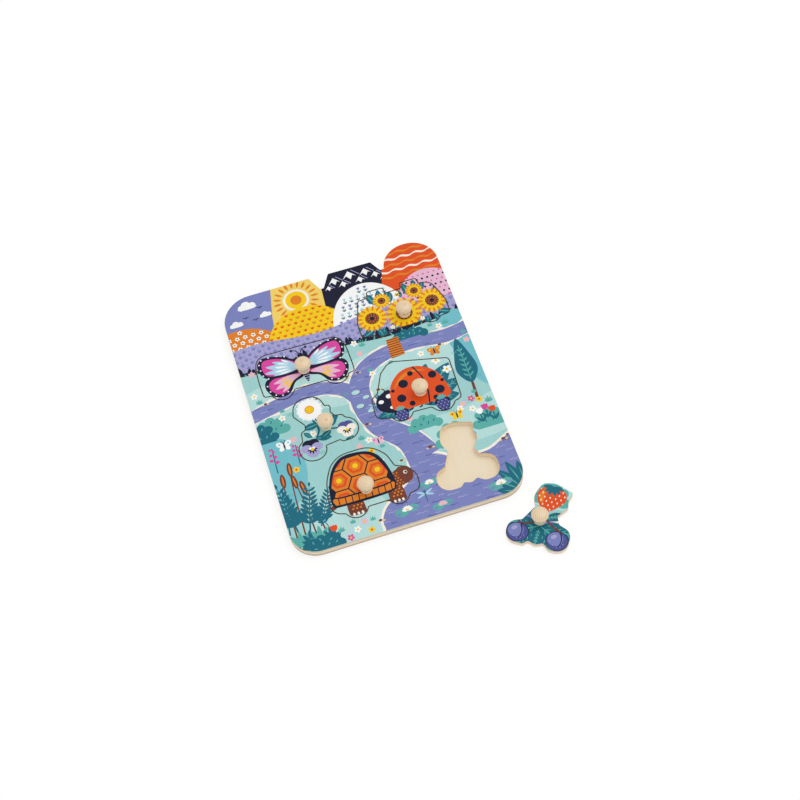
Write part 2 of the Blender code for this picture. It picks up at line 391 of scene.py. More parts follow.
def pansy(add, x, y, radius, upper, lower):
    """Pansy: two upper petals, two at the sides and a broad lower one."""
    motif = Motif(add, x, y, radius)
    for direction in (62, 118):
        motif.oval(upper, *beside(0, 0, 0.5, direction), 0.52, 0.46)
    for direction in (8, 172):
        motif.oval(lower, *beside(0, 0, 0.48, direction), 0.5, 0.4)
    motif.oval(lower, 0, -0.42, 0.56, 0.5)
    for direction, length in ((200, 0.5), (235, 0.56), (270, 0.6), (305, 0.56), (340, 0.5)):
        motif.leaf("navy", 0, 0, length, 0.17, direction)
    for side in (-1, 1):
        motif.oval("white", side * 0.14, 0.02, 0.13)
    motif.oval("yellow", 0, -0.1, 0.15)


def berry(add, x, y, radius):
    """Blackberry with its leaves on top."""
    motif = Motif(add, x, y, radius)
    outline = ((-0.8, 0.5), (-0.62, -0.52), (0, -1), (0.62, -0.52), (0.8, 0.5), (0, 0.8))
    add("navy", blob(*[motif.at(*point) for point in outline]))
    for row, count in enumerate((2, 3, 4, 3, 2)):
        for column in range(count):
            spot_x, spot_y = (column - (count - 1) / 2) * 0.42, row * 0.33 - 0.66
            motif.oval("indigo", spot_x, spot_y, 0.19)
            motif.oval("lilac", spot_x - 0.05, spot_y + 0.06, 0.06)
    for turn in (150, 120, 90, 60, 30):
        motif.leaf("teal", 0, 0.62, 0.66, 0.26, turn)


def plum(add, x, y, radius, lean):
    """Plum with its bloom, crease and stem."""
    motif = Motif(add, x, y, radius)
    motif.oval("navy", 0, 0, 1.04, 1)
    skin = motif.oval("indigo", 0, 0, 0.97, 0.93)
    motif.oval("periwinkle", -0.2, 0.16, 0.72, 0.7, inside=[skin])
    motif.oval("lilac", -0.38, 0.34, 0.3, 0.19, 0.8)
    for spot_x, spot_y in ((0.1, -0.6), (-0.28, -0.5), (0.62, -0.2), (-0.62, -0.15), (0.4, -0.5)):
        motif.oval("lilac", spot_x, spot_y, 0.45 / radius)
    motif.stroke("navy", [(0.1, 0.9), (0.38, 0.15), (0.22, -0.6)], 0.14, 0.06)
    motif.stroke("brown", [(0.1, 0.8), (lean * 0.2, 1.25)], 0.14)


def tulip(add, x, y, height, ink):
    """Tulip with two leaves, standing on (x, y)."""
    motif = Motif(add, x, y, height)
    motif.stroke("dark_teal", [(0, 0), (0, 0.6)], 0.08)
    for turn in (125, 55):
        motif.leaf("dark_teal", 0, 0, 0.5, 0.16, turn)
    for turn in (112, 68, 90):
        motif.leaf(ink, 0, 0.55, 0.45, 0.24, turn)


def tuft(add, x, y, size, ink="teal"):
    """Tuft of grass."""
    for turn, share in ((150, 0.7), (120, 0.9), (90, 1.0), (60, 0.9), (30, 0.7)):
        add(ink, leaf(x, y, size * share, size * 0.26, turn))


def bush(add, x, y, width, height, ink):
    """Scalloped half-round bush with leaf marks, whose foot is centred on (x, y)."""
    mark = "teal" if ink == "dark_teal" else "dark_teal"
    across = width / 2 * 0.86
    add(ink, [point for point in ellipse(x, y, across, height * 0.86) if point[1] >= y - 0.01])
    count = max(5, round(width / 6))
    for ring, reach, rise in ((count, 0.86, 0.8), (count - 2, 0.62, 0.62), (count // 2, 0.28, 0.28)):
        for index in range(ring):
            angle = math.pi * (index + 0.5) / ring
            place = x + width / 2 * reach * math.cos(angle), y + height * rise * math.sin(angle)
            if ring == count:
                add(ink, ellipse(*place, width / count * 0.8))
            else:
                add(mark, leaf(place[0], place[1] + 1, 3.6, 1.2, math.degrees(angle) + 25 * (-1) ** index))


def fern(add, x, y, length, turn):
    """Stem with eight pairs of leaves."""
    add("dark_teal", stroke([(x, y), beside(x, y, length, turn)], length * 0.035, length * 0.015))
    for index in range(8):
        share = 0.18 + 0.72 * index / 7
        size = length * 0.3 * (1.05 - 0.6 * share)
        for side in (-1, 1):
            add("dark_teal", leaf(*beside(x, y, length * share, turn), size, size * 0.36, turn + side * 52))
    add("dark_teal", leaf(*beside(x, y, length, turn), length * 0.12, length * 0.05, turn))


def moth(add, x, y, size, ink, spots):
    """Small butterfly seen from above."""
    motif = Motif(add, x, y, size)
    for side in (-1, 1):
        motif.oval(ink, side * 0.42, 0.26, 0.42, 0.3, side * 0.7)
        motif.oval(ink, side * 0.32, -0.28, 0.3, 0.24, -side * 0.6)
        motif.oval(spots, side * 0.48, 0.3, 0.14)
        motif.stroke("navy", [(0, 0.3), (side * 0.22, 0.72)], 0.06)
    motif.oval("navy", 0, 0, 0.09, 0.42)


def dragonfly(add, x, y, size):
    """Dragonfly seen from above."""
    motif = Motif(add, x, y, size)
    for turn in (24, 156, -20, 200):
        motif.leaf("sky", 0, 0.3, 0.95, 0.22, turn)
    motif.stroke("dark_teal", [(0, 0.5), (0, -0.7)], 0.14, 0.07)
    motif.oval("dark_teal", 0, 0.55, 0.14)


def bee(add, x, y, size):
    """Bee seen from the side."""
    motif = Motif(add, x, y, size)
    for turn in (0.6, -0.5):
        motif.oval("white", -turn * 0.4, 0.62, 0.5, 0.3, turn + 1.5)
    body = motif.oval("yellow", 0, 0, 0.8, 0.5)
    for share in (-0.32, 0.08):
        add("navy", box(*motif.at(share, -1), *motif.at(share + 0.2, 1)), body)
    motif.oval("navy", 0.8, 0.08, 0.28)


def water_lily(add, x, y, size, petals):
    """Leaf pads and a bloom on the water."""
    motif = Motif(add, x, y, size)
    for shift, drop, share, turn in ((-0.8, -0.2, 0.9, 200), (0.75, 0.1, 0.8, -20)):
        pad = motif.oval("teal", shift, drop, share, share * 0.66)
        motif.leaf("periwinkle", shift, drop, share, 0.3, turn, [pad])
    for turn in (165, 15, 140, 40, 115, 65, 90):
        motif.leaf(petals, 0, -0.1, 0.8, 0.34, turn)
    motif.oval("yellow", 0, 0.06, 0.2, 0.13)


def cloud(add, x, y, size, sky):
    """Flat-bottomed white cloud."""
    motif = Motif(add, x, y, size)
    for shift, rise, across, up in ((-0.6, 0.05, 0.3, 0.3), (-0.15, 0.25, 0.42, 0.42), (0.4, 0.1, 0.34, 0.34),
                                    (-0.08, -0.06, 0.86, 0.19)):
        motif.oval("white", shift, rise, across, up, inside=[sky])


def leaves(add, width, vein, vein_width, rib, *rows):
    """Dark leaves with pale veins, and with side ribs if rib gives their length, width and spread."""
    for x, y, length, turn in rows:
        add("dark_teal", leaf(x, y, length, length * width, turn))
        add("teal", leaf(x, y, length * vein, length * vein_width, turn))
        for step in range(1, 6) if rib else ():
            for side in (-1, 1):
                add("teal", leaf(*beside(x, y, length * step * 0.14, turn), length * rib[0], rib[1],
                                 turn + side * rib[2]))


# The board's picture

def far_hills(add):
    """Sky and hills along the board's top edge."""
    sky = add("periwinkle", box(-3, 215, 60, 300))
    for x, y, size in ((27, 281, 11), (12, 263, 8), (42, 266, 7)):
        cloud(add, x, y, size, sky)
    for x, y in ((38, 276), (22, 268), (31, 263)):
        wings = [(x - 3, y + 1.2), (x - 1, y + 1.6), (x, y), (x + 1, y + 1.6), (x + 3, y + 1.2)]
        add("navy", stroke(wings, 0.8))
    add("sand", [(44, 236), (110, 236), (101, 276), (93, 298), (54, 298), (47, 262)])
    for turn in round_trip(20):
        add("orange", leaf(*beside(74, 273, 14.5, turn), 8.5, 2.6, turn))
    for ink, radius in (("cream", 13), ("yellow", 10.4), ("orange", 5.6)):
        add(ink, ellipse(74, 273, radius))
    mountain = add("navy", [(98, 236), (174, 236), (168, 279), (156, 296), (110, 296), (101, 277)])
    for x, y, size in ((115, 286, 6), (131, 289, 7), (147, 287, 6), (108, 278, 4), (123, 279, 5),
                       (140, 279, 5), (156, 280, 5), (163, 273, 4)):
        add("white", [(x, y), (x - size, y - size * 1.2), (x - size * 0.4, y - size * 0.8),
                      (x + size * 0.1, y - size * 1.5), (x + size * 0.5, y - size * 0.8),
                      (x + size, y - size * 1.1)], mountain)
        add("lilac", stroke([(x + size * 0.5, y + size * 0.1), (x + size * 1.5, y - size)], 0.7), mountain)
    mesa = add("red_orange", blob((160, 236), (224, 236), (226, 276), (214, 298), (193, 304), (172, 297),
                                  (163, 277)))
    for level, ink in ((296, "orange"), (289, "cream"), (282, "orange"), (275, "cream"), (268, "orange")):
        add(ink, field(156, 230, level - 9, level, 1.1, 15, level / 50), mesa)
        add("red_orange", field(156, 230, level - 9, level - 2, 1.1, 15, level / 50 + 0.1), mesa)


def patchwork(add):
    """Planted hills between the far hills and the meadow."""
    orange = add("orange", ellipse(10, 222, 42, 35))
    for row, x, y in staggered(5, 8, -4, 229, 8, 6.2):
        if ((x - 10) / 38) ** 2 + ((y - 222) / 32) ** 2 < 1:
            flower(add, x, y, 2.5, "white", "navy", 37 * row)
    add("red_orange", field(-6, 54, 224, 227, 1.4, 11), orange)
    gold = add("yellow", ellipse(76, 226, 40, 37))
    for row, x, y in staggered(6, 13, 36, 228, 6.8, 5.6):
        for turn in (60, 90, 120):
            add("red_orange" if row % 2 else "orange", leaf(x, y, 3.8, 1.1, turn), gold)
    white = add("white", ellipse(138, 222, 38, 48))
    for row, x, y in staggered(5, 12, 102, 226, 6.6, 8.4):
        if ((x - 138) / 35) ** 2 + ((y + 5 - 222) / 44) ** 2 < 1:
            tulip(add, x, y, 7.2, "sky" if row % 2 else "periwinkle")
    add("magenta", field(98, 176, 218, 224, 1.3, 7), white)
    pink = add("pink", ellipse(201, 224, 35, 42))
    for row, x, y in staggered(7, 13, 168, 229, 5.4, 5.2):
        add("navy" if row % 2 else "magenta", ellipse(x, y, 1.2 if row % 2 else 0.9), pink)
    add("magenta", field(164, 226, 224, 229, 1.4, 9), pink)


def lavender(add):
    """Rows of lavender with a dark hedge in front."""
    ground = add("lilac", field(-5, 226, 196, 232, 3.5, 130, 0.1))
    for _, x, y in staggered(6, 24, -4, 203.5, 9.6, 4.9):
        foot = y + 1.6 * math.sin(x / 21)
        for turn, length in ((118, 4.2), (90, 5), (62, 4.2)):
            add("periwinkle", leaf(x, foot, length, 1.5, turn), ground)
        add("lavender", ellipse(x + 4.4, foot + 1.6, 0.9), ground)
    add("navy", field(-5, 226, 196, 206, 1.2, 60, 0.3))
    for column in range(40):
        add("navy", leaf(-3 + column * 5.8, 202, 10 + 3 * math.sin(column * 1.7), 4,
                         90 + 14 * math.sin(column * 2.3)))
    for column in range(24):
        add("teal", leaf(-2 + column * 9.6, 200, 6.5, 1.5, 90 + 30 * math.sin(column * 1.3)))


# Brooks, as x, y and width along their middles, and the lake's outline and its shore's
NORTH_BROOK = ((232, 189, 14), (200, 183, 15), (160, 186, 14), (124, 178, 16), (106, 160, 19), (102, 136, 21),
               (110, 108, 22), (131, 84, 25), (140, 60, 34))
WEST_BROOK = ((-14, 152, 13), (14, 159, 14), (60, 166, 14), (88, 158, 15), (103, 138, 17))
LAKE = ((98, -14), (84, 4), (89, 20), (104, 32), (118, 42), (127, 60), (148, 62), (168, 51), (196, 49),
        (232, 58), (232, -14))
LAKE_SHORE = ((94, -16), (81.5, 4), (87, 21.5), (102.5, 34), (116, 43.5), (125, 63), (149, 64.5), (169, 53.5),
              (196, 51.5), (234, 61), (236, -16))


def meadow(add):
    """Water meadow with two brooks that run into a lake."""
    add("aqua", field(-5, 226, -5, 203, 2.2, 115, 0.45))
    add("pale_aqua", blob((-8, 176), (30, 188), (90, 184), (150, 192), (228, 178), (228, 140), (160, 150),
                          (90, 140), (30, 150), (-8, 136)))
    add("deep_aqua", blob((196, 205), (228, 200), (228, 120), (212, 126), (202, 160)))
    add("deep_aqua", blob((-8, 120), (20, 124), (34, 96), (24, 60), (-8, 50)))
    add("pale_aqua", blob((30, 44), (70, 56), (92, 30), (82, -8), (20, -8)))
    add("pale_aqua", blob((150, 66), (190, 62), (228, 70), (228, 108), (190, 100), (150, 96)))
    add("cream", stream(NORTH_BROOK, 1.6))
    add("cream", stream(WEST_BROOK, 1.6))
    add("cream", blob(*LAKE_SHORE))
    water = [add("periwinkle", stream(NORTH_BROOK)), add("periwinkle", stream(WEST_BROOK)),
             add("periwinkle", blob(*LAKE))]
    for row in range(36):
        for column in range(12):
            x = -6 + column * 19 + (row * 8.7 + column * 5.3) % 17
            y = 1 + row * 5.4 + 1.6 * math.sin(column * 2.1)
            size = 1.3 + (row * 5 + column * 3) % 4 * 0.5
            ripple = [(x, y), (x + size, y + 0.9), (x + size * 2, y), (x + size * 3, y + 0.9),
                      (x + size * 4, y)]
            add("lilac" if (row + column) % 3 else "indigo", stroke(ripple, 0.8, 0.5), *water)
    for x, y, across in ((96, 170, 1.6), (99, 113, 1.8), (120, 146, 1.9), (123, 113, 1.5), (33, 171.5, 1.4),
                         (62, 156, 1.7), (174, 196, 1.5), (190, 175, 1.8), (118, 65, 1.6), (147, 70, 1.9),
                         (82, 12, 1.8), (95, 29, 1.5), (213, 56, 1.9), (218, 59, 1.4), (107, 171, 1.4),
                         (15, 166.6, 1.5)):
        for shift, drop, share in ((0, 0, 1), (across * 1.7, -across * 0.5, 0.7),
                                   (-across * 1.4, -across * 0.7, 0.55)):
            size = across * share
            add("sand" if share < 1 else "brown", ellipse(x + shift, y + drop, size, size * 0.7))


def planting(add):
    """Trees, bushes, reeds and flowers of the meadow."""
    bush(add, 166, 192, 34, 9, "dark_teal")
    bush(add, 14, 130, 30, 20, "teal")
    bush(add, 4, 124, 26, 22, "dark_teal")
    for x, y, width, height in ((150, 90, 30, 13), (172, 64, 36, 26), (208, 72, 30, 22)):
        bush(add, x, y, width, height, "teal")
    for turn in (160, 142, 124, 106, 90, 74):
        add("dark_teal", leaf(217, -4, 40 - abs(turn - 115) * 0.25, 9, turn))
        add("teal", leaf(217, -4, 34 - abs(turn - 115) * 0.25, 1.2, turn))
    add("brown", stroke([(205, 104), (206, 126), (205, 144)], 3.2, 1.8))
    crown = add("dark_teal", blob((206, 176), (213, 158), (216, 138), (206, 124), (196, 138), (199, 158)))
    add("teal", stroke([(206, 128), (206, 168)], 0.9))
    for level in range(6):
        for side in (-1, 1):
            add("teal", leaf(206, 131 + level * 6, 7 - level * 0.6, 1.7, 90 - side * 48), crown)
    for x, y, height, tilt in ((14, 14, 78, 4), (24, 14, 64, -5), (6, 14, 68, 3), (33, 14, 56, -8)):
        add("brown", stroke([(x, y), (x + tilt * 0.4, y + height * 0.6), (x + tilt, y + height)], 1.6, 1))
        add("brown", ellipse(x + tilt, y + height - 2, 2.6, 7.5, -math.radians(tilt)))
        add("orange", ellipse(x + tilt, y + height - 2, 0.8, 5.4, -math.radians(tilt)))
    for x, y, length, turn in ((9, 22, 52, 98), (19, 22, 46, 76), (1, 24, 42, 84), (30, 24, 38, 64),
                               (36, 22, 26, 108)):
        fern(add, x, y, length, turn)
    for x, size in ((1, 14), (9, 17), (18, 15), (27, 17), (36, 13)):
        tuft(add, x, 9, size, "teal" if x % 2 else "dark_teal")
    bush(add, 26, 0, 40, 14, "dark_teal")
    for x, y, height in ((7, 90, 27), (29, 92, 22)):
        add("dark_teal", stroke([(x, y), (x + 1, y + height)], 1.1))
        for level in range(6):
            side = (-1) ** level
            add("magenta", leaf(x, y + height * (0.4 + level * 0.11), 5.2 - level * 0.5, 3.4, 90 - side * 75))
    for x, y, ink in ((113, 204, "white"), (115, 191, "pink"), (196, 196, "white"), (170, 171, "white"),
                      (216, 172, "pink"), (190, 104, "pink"), (199, 107, "magenta"), (96, 96, "white"),
                      (7, 178, "white"), (11, 203, "pink"), (26, 146, "white"), (24, 88, "yellow"),
                      (138, 105, "pink"), (60, 10, "white"), (72, 5.5, "yellow"), (52, 4, "magenta"),
                      (68, 16, "pink"), (206, 104, "yellow"), (197, 96, "white"), (86, 92, "pink"),
                      (95, 84, "yellow"), (186, 100, "white"), (120, 165, "white"), (49, 120, "white"),
                      (30, 120, "pink"), (100, 70, "white")):
        flower(add, x, y, 3.5, ink, "red_orange" if ink == "yellow" else "yellow", x)
    for x, y, size in ((120, 198, 6), (203, 196, 6), (10, 168, 6), (140, 170, 5), (214, 98, 7), (90, 98, 6),
                       (188, 198, 5), (46, 12, 6), (58, 17, 5), (76, 14, 5), (28, 152, 5), (216, 180, 5),
                       (106, 84, 5), (119, 168, 5), (42, 96, 5), (204, 112, 5)):
        tuft(add, x, y, size)
    for x, y, ink in ((208, 82, "magenta"), (214, 78, "red_orange"), (202, 79, "white"),
                      (40, 6, "red_orange")):
        tulip(add, x, y, 16, ink)
    for x, y, size, ink in ((108, 14, 7, "white"), (140, 9, 6, "pink"), (196, 12, 7, "white"),
                            (135, 34, 6, "white")):
        water_lily(add, x, y, size, ink)
    for x, y, across in ((99, 150, 4), (107, 142, 3.2), (99, 134, 3.8), (107, 126, 3)):
        add("indigo", ellipse(x + 0.5, y - 0.7, across, across * 0.62))
        add("pale_aqua", ellipse(x, y, across, across * 0.62))
    bridge = add("brown", [(142, 175), (156, 176), (155, 198), (143, 197)])
    for step in range(9):
        add("orange", box(139, 176 + step * 2.6, 160, 177.5 + step * 2.6), bridge)
    for x, y in ((120, 203), (186, 189.5), (34, 146), (42, 150), (90, 150), (98, 76), (88, 66), (160, 98),
                 (176, 100), (128, 104), (104, 196), (200, 160), (184, 168), (36, 104), (12, 62), (52, 96),
                 (214, 128), (30, 64)):
        for shift, size in ((-1.8, 2.6), (0, 3.6), (1.8, 2.6)):
            add("teal", stroke([(x + shift, y), (x + shift, y + size)], 0.6))
    for x, y, size, ink, spots in ((20, 116, 9, "white", "sky"), (183, 169.5, 8, "orange", "yellow"),
                                   (181, 94, 8, "yellow", "red_orange"), (104, 92, 7, "pink", "magenta")):
        moth(add, x, y, size, ink, spots)
    dragonfly(add, 128, 22, 9)
    dragonfly(add, 112, 128, 7)


# The pieces' pictures

def butterfly(add):
    """Large butterfly with spread wings."""
    middle = 60.7
    for side in (-1, 1):
        def mirrored(*points):
            return blob(*[(middle + side * x, y) for x, y in points])

        def rays(wing, ink, y, tip_ink, reach, tip_share, *rows):
            for length, width, turn in rows:
                tip_y = y + reach * math.tan(math.radians(turn))
                direction = 90 - side * (90 - turn)
                add(ink, leaf(middle + side * 5, y, length, width, direction), wing)
                add(tip_ink, leaf(middle + side * (5 + reach), tip_y, length * tip_share, width * 0.42,
                                  direction), wing)

        add("navy", mirrored((2, 191), (20, 196), (37, 192), (41, 183), (36, 172), (27.5, 168.6), (19, 171.5),
                             (12, 181), (3, 185)))
        wing = add("magenta", mirrored((3, 189), (20, 192.5), (34, 189.5), (37.4, 182), (33, 174.5),
                                       (27, 172), (21, 174.5), (13.5, 183)))
        rays(wing, "pink", 188.5, "yellow", 8, 0.44, (28, 6, -6), (29, 7, -20), (26, 6, -34), (20, 4.4, -47))
        for x, y in ((38.7, 185), (37.6, 178.2), (33.4, 172.9), (27.4, 170.5), (21.5, 172.8)):
            add("white", ellipse(middle + side * x, y, 0.8))
        add("navy", mirrored((1, 197), (8, 207), (22, 215), (36, 217.2), (41.8, 211), (41.4, 199), (34, 192),
                             (16, 190.5), (2, 191)))
        wing = add("magenta", mirrored((3, 196.5), (9, 205), (22.5, 212.4), (34.6, 214.2), (38.4, 209.6),
                                       (38, 200), (32.4, 194.8), (16, 193.2)))
        rays(wing, "sky", 196, "white", 7, 0.5, (20, 4.6, 46), (27, 6, 32), (32, 7, 19), (33, 6.4, 6),
             (27, 4.6, -5))
        for x, y in ((15, 213.4), (22, 216), (30, 217), (37.5, 216.2), (40.4, 211.6), (40.5, 205),
                     (39.6, 198.4), (35.6, 193.6)):
            add("white", ellipse(middle + side * x, y - 0.6, 0.8))
        add("navy", stroke([(middle, 210), (middle + side * 3, 215), (middle + side * 7, 216.6)], 0.9))
        add("navy", ellipse(middle + side * 7.2, 216.6, 1.3))
    body = add("navy", ellipse(middle, 193, 3, 15.5))
    for step in range(7):
        add("lilac", box(middle - 4, 179 + step * 2.6, middle + 4, 180.1 + step * 2.6), body)
    add("navy", ellipse(middle, 208.6, 2.9))


def sunflowers(add):
    """Bunch of sunflowers."""
    leaves(add, 0.42, 0.86, 0.07, None, (139, 214, 18, 205), (146, 212, 15, 255), (140, 214, 14, 285),
           (190, 212, 15, 255), (196, 212, 14, 290), (200, 214, 16, 335), (168, 212, 20, 200),
           (170, 212, 20, 340), (150, 240, 17, 82), (146, 240, 17, 112), (154, 240, 16, 58),
           (180, 240, 17, 100), (186, 240, 17, 82), (190, 240, 15, 60), (131, 232, 13, 145),
           (204, 236, 12, 60), (207, 222, 10, -20), (127, 220, 9, 215), (160, 238, 13, 75),
           (172, 240, 10, 95))
    for x, y, radius in ((152.5, 243, 9), (186, 244, 9), (138, 226, 15.5), (199, 227, 15),
                         (169.3, 222, 18.5)):
        star_flower(add, x, y, radius, (("orange", 1), ("yellow", 1), ("orange", 0.82), ("yellow", 0.78)))
        add("brown", ellipse(x, y, radius * 0.44))
        for ring, count in ((0.37, 13), (0.22, 8)):
            for turn in round_trip(count):
                add("orange", ellipse(*beside(x, y, radius * ring, turn), radius * 0.035))
        add("navy", ellipse(x, y, radius * 0.13))
    for x, y in ((154, 209.6), (184, 209.6)):
        flower(add, x, y, 2.6, "white", turn=x)
    bee(add, 169, 245, 3.4)


def ladybird(add):
    """Ladybird on a bramble leaf, over two blackberries."""
    leaves(add, 0.4, 0.9, 0.04, (0.14, 0.8, 42), (150, 120, 40, 187), (152, 119, 39, -4), (128, 128, 17, 140),
           (150, 122, 42, 60), (160, 122, 44, 44), (165, 120, 34, 22))
    for x, y in ((181, 159), (188, 146)):
        flower(add, x, y, 4.6, "white", turn=x)
    for x, lean in ((147, -2), (154, 0), (161, 2)):
        add("navy", stroke([(x, 122), (x + lean, 115.5), (x + lean - 3, 114)], 2, 1.4))
    add("navy", blob((130, 141), (121, 140), (114.5, 134), (113.6, 126), (118.5, 119.5), (130, 117.5)))
    for x, lean in ((119, -3), (124, 1)):
        add("navy", stroke([(x, 137), (x + lean, 143.5), (x + lean - 2.5, 145.5)], 1))
    for x, y, across in ((118.6, 131.5, 2.6), (127.4, 135.5, 3), (127, 122.6, 2.2)):
        add("white", ellipse(x, y, across, across * 0.8))
    shell = add("red_orange", blob((130, 117.5), (127.8, 130), (133, 147), (146, 158.5), (162, 159),
                                   (176, 149), (182.5, 133), (182, 118), (157, 116)))
    add("orange", blob((134, 141), (144, 153), (157, 156.2), (168, 152), (156, 153.6), (144, 149)), shell)
    add("navy", stroke([(157, 161), (163, 146), (164, 130), (161, 114)], 1.4), shell)
    for x, y, radius in ((138, 129, 4.4), (144, 144, 4.6), (173, 145, 4), (175, 127, 4.6), (146, 120.5, 2.8),
                         (153.5, 153, 2.8), (169, 119.5, 2.8), (132.5, 139.5, 1.8), (180, 136, 1.8)):
        add("navy", ellipse(x, y, radius), shell)
    berry(add, 133.3, 111.8, 8.2)
    berry(add, 173.1, 110.6, 8.6)


def blossoms(add):
    """White daisy over two pansies."""
    for points in ([(52, 136), (55, 122), (46, 108)], [(55, 136), (62, 122), (77, 118)]):
        add("dark_teal", stroke(points, 2.4, 1.6))
    leaves(add, 0.46, 0.85, 0.08, None, (57, 129, 16, 187), (60, 124, 19, 28), (50, 114, 15, 350),
           (68, 122, 11, 62), (66, 118, 13, 205), (47, 116, 10, 130), (84, 106, 13, 215))
    star_flower(add, 52.5, 146.5, 13.2, (("sky", 1.04), ("white", 1), ("white", 0.93)))
    for ink, share in (("orange", 0.34), ("yellow", 0.28)):
        add(ink, ellipse(52.5, 146.5, 13.2 * share))
    for turn in round_trip(8):
        add("orange", ellipse(*beside(52.5, 146.5, 2.3, turn), 0.42))
    pansy(add, 43.8, 105, 10.8, "navy", "lilac")
    pansy(add, 80, 114.6, 9.6, "indigo", "cream")


def tortoise(add):
    """Tortoise with a patterned shell."""
    for x, y, width in ((65.5, 30.5, 8), (104, 31, 7.6)):
        add("brown", blob((x - width * 0.8, y + 10), (x - width, y - 3), (x - width * 0.6, y - 6),
                          (x + width * 0.8, y - 6), (x + width, y - 2), (x + width * 0.7, y + 10)))
        for shift in (-0.5, 0, 0.5):
            add("cream", leaf(x + shift * width, y - 6.6, 3.4, 2.4, 90))
        for level in range(3):
            for shift in (-0.45, 0, 0.45):
                add("orange", ellipse(x + shift * width + level % 2 * 1.6, y + 0.5 + level * 3, 1))
    add("brown", leaf(50, 41, 9, 5, 215))
    neck = blob((96, 41), (102, 52), (110, 57.6), (117.5, 58.4), (123, 54.6), (124, 48), (121, 42.6),
                (113, 40), (104, 38))
    skin = add("brown", neck)
    for row in range(6):
        for column in range(9):
            add("orange", ellipse(96 + column * 3.1 + row % 2 * 1.5, 40 + row * 2.8, 0.8), skin)
    add("brown", blob((111, 58), (117.5, 58.4), (123, 54.6), (124, 48), (120.5, 43), (113, 43)))
    add("cream", ellipse(117.6, 52.4, 1.9))
    add("navy", ellipse(117.9, 52.4, 1.2))
    add("navy", blob((45.6, 40), (47, 58), (54, 76), (65.6, 86.6), (82, 87.2), (95.4, 82), (103.4, 67.6),
                     (106.4, 44), (98, 36.6), (54, 36.6)))
    dome = add("navy", blob((49, 50), (50, 61), (57, 75), (67.6, 83.8), (82, 84.2), (93, 79.4), (100.4, 66),
                            (103, 50), (95, 46.6), (56, 46.6)))
    for row in range(-1, 4):
        for column in range(-1, 2):
            x, y = 76 + column * 18.3, 74 - row * 21.1 - (column % 2) * 10.55
            for ink, radius in (("orange", 11.5), ("red_orange", 8.4), ("orange", 5.6), ("yellow", 2.8)):
                add(ink, [beside(x, y, radius, turn) for turn in round_trip(6)], dome)
    rim = add("orange", blob((48, 46.4), (47.6, 41.6), (54, 38.8), (98, 38.8), (104.4, 42), (104, 46.4),
                             (94, 44.8), (58, 44.8)))
    for index in range(9):
        add("navy", stroke([(51.4 + index * 6.2, 36), (52.4 + index * 6.2, 48)], 0.9), rim)


def fruit(add):
    """Strawberry over two plums."""
    leaves(add, 0.44, 0.88, 0.05, (0.15, 0.9, 40), (171, 42, 36, 184), (171, 42, 34, 236), (171, 42, 34, 304),
           (171, 42, 36, 356), (171, 42, 40, 208), (171, 42, 40, 332), (171, 40, 22, 270), (170, 50, 20, 158),
           (173, 50, 20, 24))
    add("brown", stroke([(172, 64), (170, 48), (154, 40)], 1.6))
    add("brown", stroke([(171, 52), (188, 40)], 1.6))
    red = add("red_orange", blob((172, 57), (181, 63), (187, 72), (184, 80.6), (173, 83), (163, 80),
                                 (160.6, 71.5), (165, 62.5)))
    add("orange", blob((164.6, 66), (162.6, 73), (165, 79), (169, 80), (166.6, 73), (167.6, 66)), red)
    for _, x, y in staggered(6, 6, 160, 60, 5, 3.9):
        add("cream", ellipse(x, y, 0.6, 1), red)
    for turn in (190, 222, 252, 288, 318, 350):
        add("dark_teal", leaf(173, 83.6, 10, 3.8, turn))
    plum(add, 153.2, 31.2, 9.8, -1)
    plum(add, 189.4, 31.2, 9.8, -2)


# Cutting the picture to the plates

def sides(face):
    """Edges round a face, each from its start to its end."""
    return list(zip(face, face[1:] + face[:1]))


def top_outlines(node):
    """Closed outlines of a plate's top face, in whole microns, the widest first."""
    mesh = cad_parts[node].data
    top = max(vertex.co.z for vertex in mesh.vertices)
    edges = {}
    for polygon in mesh.polygons:
        corners = [mesh.vertices[index].co for index in polygon.vertices]
        if min(corner.z for corner in corners) > top - LEVEL_ERROR:
            keys = [(round(corner.x * MICRONS), round(corner.y * MICRONS)) for corner in corners]
            edges.update(dict.fromkeys(sides(keys)))
    following = {start: end for start, end in edges if (end, start) not in edges}
    outlines = []
    while following:
        here = next(iter(following))
        outline = []
        while here in following:
            outline.append(here)
            here = following.pop(here)
        outlines.append(outline)
    return sorted(outlines, key=lambda outline: max(outline)[0] - min(outline)[0], reverse=True)


def cut(shapes, outer, holes):
    """Points of the picture inside outer and outside the holes, and its faces, each with its ink."""
    left, right = min(point.x for point in outer), max(point.x for point in outer)
    bottom, top = min(point.y for point in outer), max(point.y for point in outer)
    near = [number for number, (_, points, _) in enumerate(shapes)
            if max(point.x for point in points) > left and min(point.x for point in points) < right
            and max(point.y for point in points) > bottom and min(point.y for point in points) < top]
    polygons = [outer, *holes, *[shapes[number][1] for number in near]]
    faces = []
    first = 0
    for polygon in polygons:
        faces.append(list(range(first, first + len(polygon))))
        first += len(polygon)
    points = [point for polygon in polygons for point in polygon]
    made_points, _, made_faces, _, _, covers = delaunay_2d_cdt(points, [], faces, WHOLE_FACES, MERGE_DISTANCE)
    hole_numbers = set(range(1, 1 + len(holes)))
    inked = []
    for face, cover in zip(made_faces, covers):
        if 0 not in cover or hole_numbers & set(cover):
            continue
        here = {near[number - 1 - len(holes)] for number in cover if number > len(holes)}
        for number in sorted(here, reverse=True):
            ink, _, inside = shapes[number]
            if not inside or here.intersection(inside):
                inked.append((face, ink))
                break
    return made_points, inked


